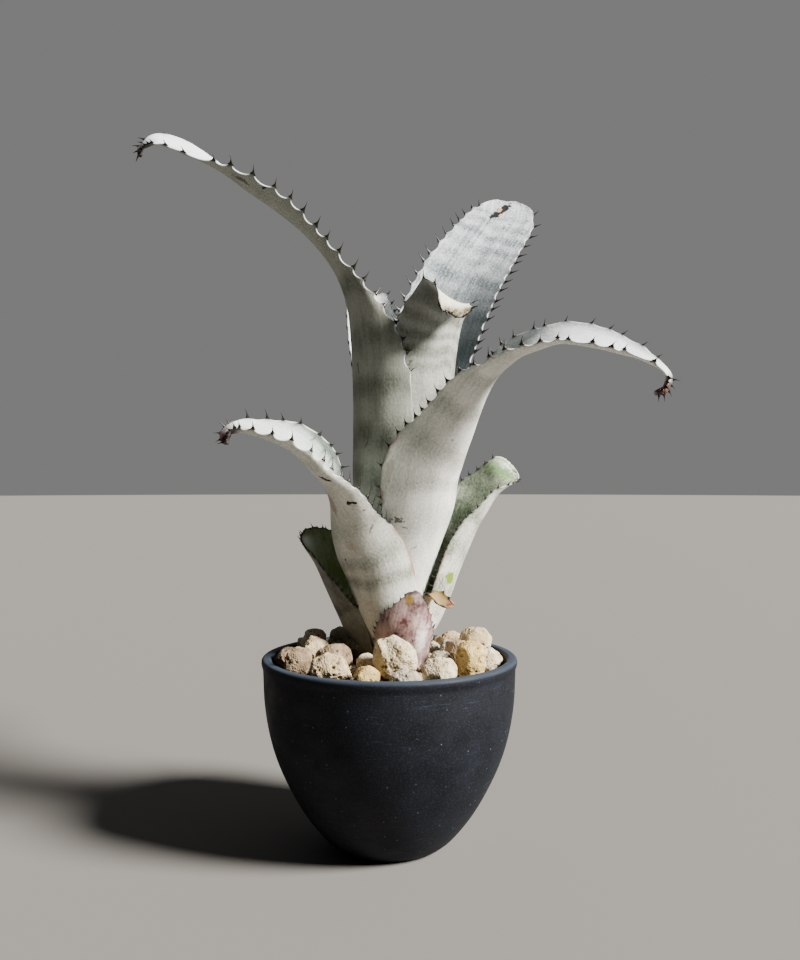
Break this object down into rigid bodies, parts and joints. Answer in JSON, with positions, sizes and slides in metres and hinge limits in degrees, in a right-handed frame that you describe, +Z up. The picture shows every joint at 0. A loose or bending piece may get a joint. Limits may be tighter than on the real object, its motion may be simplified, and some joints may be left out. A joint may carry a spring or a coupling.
{
  "type": "potted bromeliad",
  "caption": "Vase-shaped bromeliad of stiff silvery leaves with thorned edges, in a round black pot filled with potting mix and topped with pumice chips.",
  "frame": {"origin": "centre of the pot's flat underside, on the surface it stands on", "axes": "+Z up along the pot's axis, +X to the viewer's right and +Y away from the viewer when the plant is seen from the side that the picture shows"},
  "size_m": [0.1905, 0.1286, 0.2841],
  "materials": {
    "pot": "matte blue-black, dusty and lightly scuffed",
    "potting_mix": "gritty brown mix of bark and fine pumice",
    "stem": "dry fibrous tissue",
    "leaf": "silver-white scurf over green, in blurred darker cross-bands",
    "sheath": "bare pinkish sheath with purple blotches",
    "pumice": "rough, cream to tan, with open pores"
  },
  "bodies": {
    "root": {"pot": "pot", "potting_mix": "potting_mix", "stem": "stem", "leaf_heart": "leaf", "leaf_back": "leaf", "leaf_tall_left": "leaf", "leaf_front_right": "leaf", "leaf_back_left": "leaf", "leaf_front_left": "leaf", "leaf_right": "leaf", "leaf_left": "leaf", "stub_right": "leaf", "stub_front": "sheath", "pumice_01": "pumice", "pumice_02": "pumice", "pumice_03": "pumice", "pumice_04": "pumice", "pumice_05": "pumice", "pumice_06": "pumice", "pumice_07": "pumice", "pumice_08": "pumice", "pumice_09": "pumice", "pumice_10": "pumice", "pumice_11": "pumice", "pumice_12": "pumice", "pumice_13": "pumice", "pumice_14": "pumice", "pumice_15": "pumice", "pumice_16": "pumice", "pumice_17": "pumice", "pumice_18": "pumice", "pumice_19": "pumice", "pumice_20": "pumice", "pumice_21": "pumice", "pumice_22": "pumice", "pumice_23": "pumice", "pumice_24": "pumice", "pumice_25": "pumice", "pumice_26": "pumice", "pumice_27": "pumice", "pumice_28": "pumice", "pumice_29": "pumice", "pumice_30": "pumice", "pumice_31": "pumice"}
  },
  "joints": []
}
